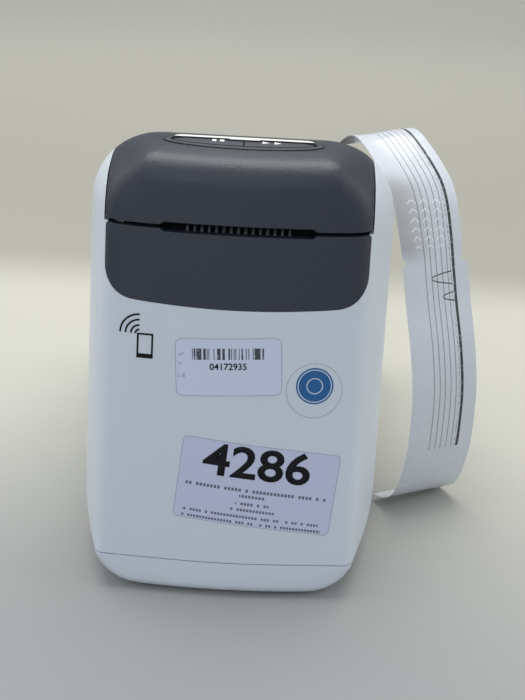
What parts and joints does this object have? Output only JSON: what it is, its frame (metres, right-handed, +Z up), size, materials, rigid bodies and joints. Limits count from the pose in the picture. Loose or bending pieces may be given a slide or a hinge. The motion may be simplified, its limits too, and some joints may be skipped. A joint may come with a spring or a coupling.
{
  "type": "thermal label printer",
  "caption": "Upright desktop thermal printer for wristbands and labels, with a hinged hood over a drop-in cartridge, a sprung print head and a geared platen.",
  "frame": {"origin": "on the table under the middle of the case, midway between its front and rear walls", "axes": "+Z up, the front face with the paper slot towards -Y, +X to the right of someone facing the front"},
  "size_m": [0.1701, 0.241, 0.1738],
  "materials": {
    "case_white": "satin moulded ABS",
    "rubber_black": "matt rubber",
    "charcoal": "fine textured plastic",
    "steel": "turned steel",
    "black_plastic": "matt glass-filled plastic",
    "panel_grey": "fine textured plastic",
    "diffuser": "translucent white diffuser",
    "circuit_board": "solder mask",
    "ceramic": "glazed ceramic",
    "aluminium": "extruded aluminium",
    "platen_rubber": "ground rubber",
    "gear_plastic": "natural acetal",
    "motor_steel": "plated steel can",
    "brass": "machined brass",
    "cartridge_white": "moulded polypropylene",
    "card": "wound card",
    "band_film": "coated film"
  },
  "bodies": {
    "case": {"main_housing": "case_white", "base_tray": "case_white", "rubber_feet": "rubber_black", "front_bib": "charcoal", "rear_panel": "charcoal", "hinge_pins": "steel", "chassis": "steel", "media_guide": "black_plastic", "platen_bushes": "gear_plastic", "idler_stud": "steel", "stepper_motor": "motor_steel", "cartridge_cradle": "black_plastic", "cartridge_left": "cartridge_white", "cartridge_right": "cartridge_white", "main_board": "circuit_board", "dc_inlet": "black_plastic", "usb_port": "steel", "network_port": "steel", "switch_frame": "black_plastic", "case_screws": "steel", "board_screws": "steel"},
    "hood": {"hood": "charcoal", "hood_liner": "black_plastic", "panel_bezel": "panel_grey", "panel_ring": "black_plastic", "status_light": "diffuser", "button_board": "circuit_board", "head_pin": "steel", "head_spring": "steel", "wristband": "band_film"},
    "head": {"head_bracket": "steel", "print_head": "ceramic", "head_heat_sink": "aluminium"},
    "pause_key": {"pause_button": "panel_grey"},
    "feed_key": {"feed_button": "panel_grey"},
    "rocker": {"power_rocker": "black_plastic"},
    "platen": {"platen_shaft": "steel", "platen_roller": "platen_rubber", "platen_gear": "gear_plastic"},
    "idler": {"idler_gear": "gear_plastic"},
    "motor_rotor": {"motor_shaft": "steel", "motor_pinion": "brass"},
    "media": {"media_core": "card", "media_roll": "band_film"}
  },
  "joints": [
    {"name": "hood_hinge", "type": "hinge", "parent": "case", "child": "hood", "pos_m": [0, 0.093, 0.12204], "axis": [-1, 0, 0], "range_deg": [0, 75], "deforming": ["wristband"]},
    {"name": "pause_press", "type": "slide", "parent": "hood", "child": "pause_key", "axis": [0, 0, -1], "range_m": [0, 0.0006], "stiffness_N_per_m": 800},
    {"name": "feed_press", "type": "slide", "parent": "hood", "child": "feed_key", "axis": [0, 0, -1], "range_m": [0, 0.0006], "stiffness_N_per_m": 800},
    {"name": "head_pivot", "type": "hinge", "parent": "hood", "child": "head", "pos_m": [0, -0.066, 0.1526], "axis": [-1, 0, 0], "range_deg": [0, 3], "stiffness_Nm_per_rad": 2, "springref_deg": -5.73, "deforming": ["head_spring"]},
    {"name": "power_rock", "type": "hinge", "parent": "case", "child": "rocker", "pos_m": [-0.027, 0.1146, 0.0363], "axis": [-1, 0, 0], "range_deg": [0, 14]},
    {"name": "platen_spin", "type": "hinge", "parent": "case", "child": "platen", "pos_m": [0, -0.082, 0.1402], "axis": [1, 0, 0], "continuous": true},
    {"name": "idler_spin", "type": "hinge", "parent": "case", "child": "idler", "pos_m": [-0.0455, -0.07041, 0.12057], "axis": [1, 0, 0], "continuous": true},
    {"name": "motor_spin", "type": "hinge", "parent": "case", "child": "motor_rotor", "pos_m": [-0.044, -0.076, 0.106], "axis": [1, 0, 0], "continuous": true},
    {"name": "media_spin", "type": "hinge", "parent": "case", "child": "media", "pos_m": [0, 0.012, 0.088], "axis": [1, 0, 0], "continuous": true}
  ],
  "couplings": [
    {"joint": "idler_spin", "follows": "platen_spin", "ratio": -0.9},
    {"joint": "motor_spin", "follows": "platen_spin", "ratio": 3}
  ]
}
